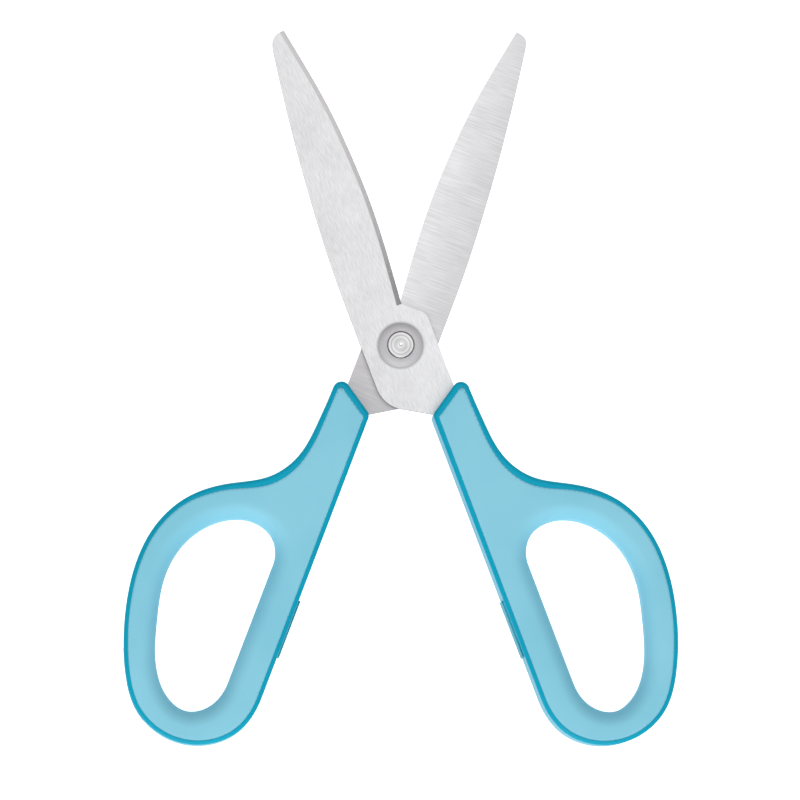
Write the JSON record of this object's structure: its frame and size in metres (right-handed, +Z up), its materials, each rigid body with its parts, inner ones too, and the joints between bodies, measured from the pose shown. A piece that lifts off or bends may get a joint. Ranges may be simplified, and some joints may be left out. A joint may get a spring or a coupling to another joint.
{
  "type": "office scissors",
  "caption": "Office scissors with stainless blades on a rivet and two-material loop handles, lying open; the halves swing about the rivet to cut.",
  "frame": {"origin": "middle of the open scissors' footprint, on the surface they lie on", "axes": "+Y towards the blade tips, +Z up out of the surface, +X to the right with the tips pointing away"},
  "size_m": [0.1224, 0.1582, 0.0128],
  "materials": {
    "blade_steel": "brushed",
    "rivet_steel": "turned",
    "hard_plastic": "gloss",
    "soft_plastic": "soft matte",
    "pad_plastic": "soft matte",
    "collar_plastic": "satin",
    "washer_plastic": "satin"
  },
  "bodies": {
    "front_half": {"front_blade": "blade_steel", "right_handle_frame": "hard_plastic", "right_soft_grip": "soft_plastic", "right_stop_pad": "pad_plastic", "right_outer_pad": "pad_plastic", "front_collar": "collar_plastic", "rear_collar": "collar_plastic", "pivot_rivet": "rivet_steel", "rivet_back_head": "rivet_steel", "pivot_washer": "washer_plastic"},
    "rear_half": {"rear_blade": "blade_steel", "left_handle_frame": "hard_plastic", "left_soft_grip": "soft_plastic", "left_stop_pad": "pad_plastic", "left_outer_pad": "pad_plastic"}
  },
  "joints": [
    {"name": "rivet_hinge", "type": "hinge", "parent": "front_half", "child": "rear_half", "pos_m": [0, 0.00914, 0.0064], "axis": [0, 0, 1], "range_deg": [-45, 41.6]}
  ]
}
